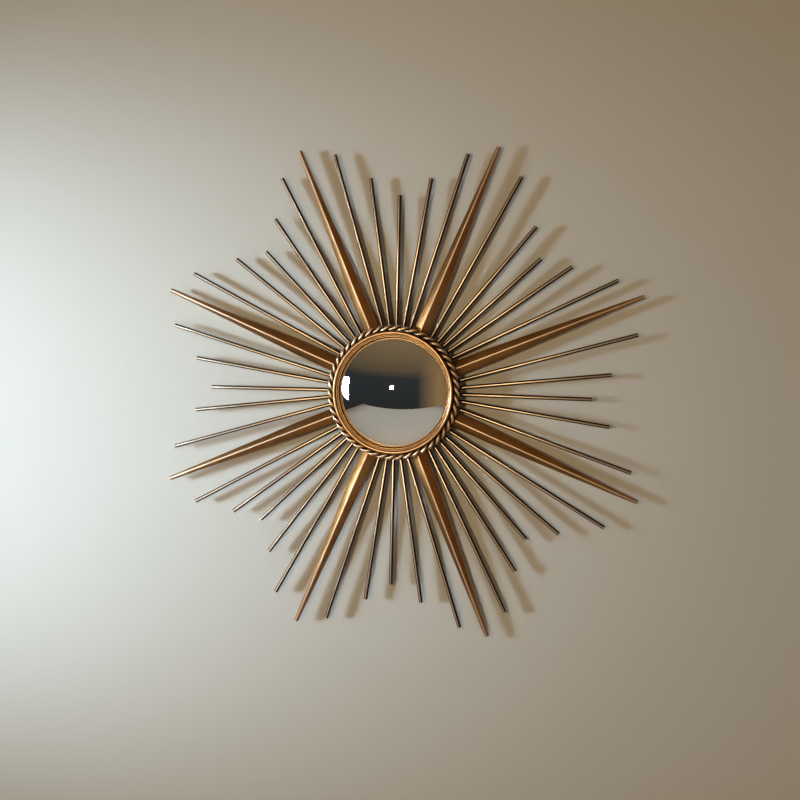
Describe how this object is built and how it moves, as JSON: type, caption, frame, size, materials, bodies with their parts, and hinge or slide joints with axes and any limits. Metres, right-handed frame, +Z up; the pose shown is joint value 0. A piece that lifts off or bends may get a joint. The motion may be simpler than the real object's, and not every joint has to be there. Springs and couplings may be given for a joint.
{
  "type": "sunburst wall mirror",
  "caption": "Round convex wall mirror in a beaded bezel and twisted rope ring, with gilt metal rays of several lengths fanned out around it.",
  "frame": {"origin": "centre of the backboard's flat back, on the wall and on the mirror's own axis", "axes": "+Y into the wall, so the mirror faces -Y; +Z up; +X to the right of someone who looks at the mirror"},
  "size_m": [0.5672, 0.0412, 0.5663],
  "materials": {
    "antique_gilt_metal": "satin antique gold, worn bright on the crests and dark in the recesses",
    "silvered_glass": "polished convex mirror",
    "black_stained_wood": "matt black stain",
    "zinc_plated_steel": "dull zinc plate"
  },
  "bodies": {
    "root": {"wide_ray_1": "antique_gilt_metal", "wide_ray_2": "antique_gilt_metal", "wide_ray_3": "antique_gilt_metal", "wide_ray_4": "antique_gilt_metal", "wide_ray_5": "antique_gilt_metal", "wide_ray_6": "antique_gilt_metal", "wide_ray_7": "antique_gilt_metal", "wide_ray_8": "antique_gilt_metal", "long_rod_1": "antique_gilt_metal", "long_rod_2": "antique_gilt_metal", "long_rod_3": "antique_gilt_metal", "long_rod_4": "antique_gilt_metal", "long_rod_5": "antique_gilt_metal", "long_rod_6": "antique_gilt_metal", "long_rod_7": "antique_gilt_metal", "long_rod_8": "antique_gilt_metal", "long_rod_9": "antique_gilt_metal", "long_rod_10": "antique_gilt_metal", "long_rod_11": "antique_gilt_metal", "long_rod_12": "antique_gilt_metal", "long_rod_13": "antique_gilt_metal", "long_rod_14": "antique_gilt_metal", "long_rod_15": "antique_gilt_metal", "long_rod_16": "antique_gilt_metal", "medium_rod_1": "antique_gilt_metal", "medium_rod_2": "antique_gilt_metal", "medium_rod_3": "antique_gilt_metal", "medium_rod_4": "antique_gilt_metal", "medium_rod_5": "antique_gilt_metal", "medium_rod_6": "antique_gilt_metal", "medium_rod_7": "antique_gilt_metal", "medium_rod_8": "antique_gilt_metal", "medium_rod_9": "antique_gilt_metal", "medium_rod_10": "antique_gilt_metal", "medium_rod_11": "antique_gilt_metal", "medium_rod_12": "antique_gilt_metal", "medium_rod_13": "antique_gilt_metal", "medium_rod_14": "antique_gilt_metal", "medium_rod_15": "antique_gilt_metal", "medium_rod_16": "antique_gilt_metal", "short_rod_1": "antique_gilt_metal", "short_rod_2": "antique_gilt_metal", "short_rod_3": "antique_gilt_metal", "short_rod_4": "antique_gilt_metal", "short_rod_5": "antique_gilt_metal", "short_rod_6": "antique_gilt_metal", "short_rod_7": "antique_gilt_metal", "short_rod_8": "antique_gilt_metal", "rope_ring": "antique_gilt_metal", "bezel": "antique_gilt_metal", "convex_glass": "silvered_glass", "backboard": "black_stained_wood", "hanging_bar": "zinc_plated_steel", "bar_screw_left": "zinc_plated_steel", "bar_screw_right": "zinc_plated_steel"}
  },
  "joints": []
}
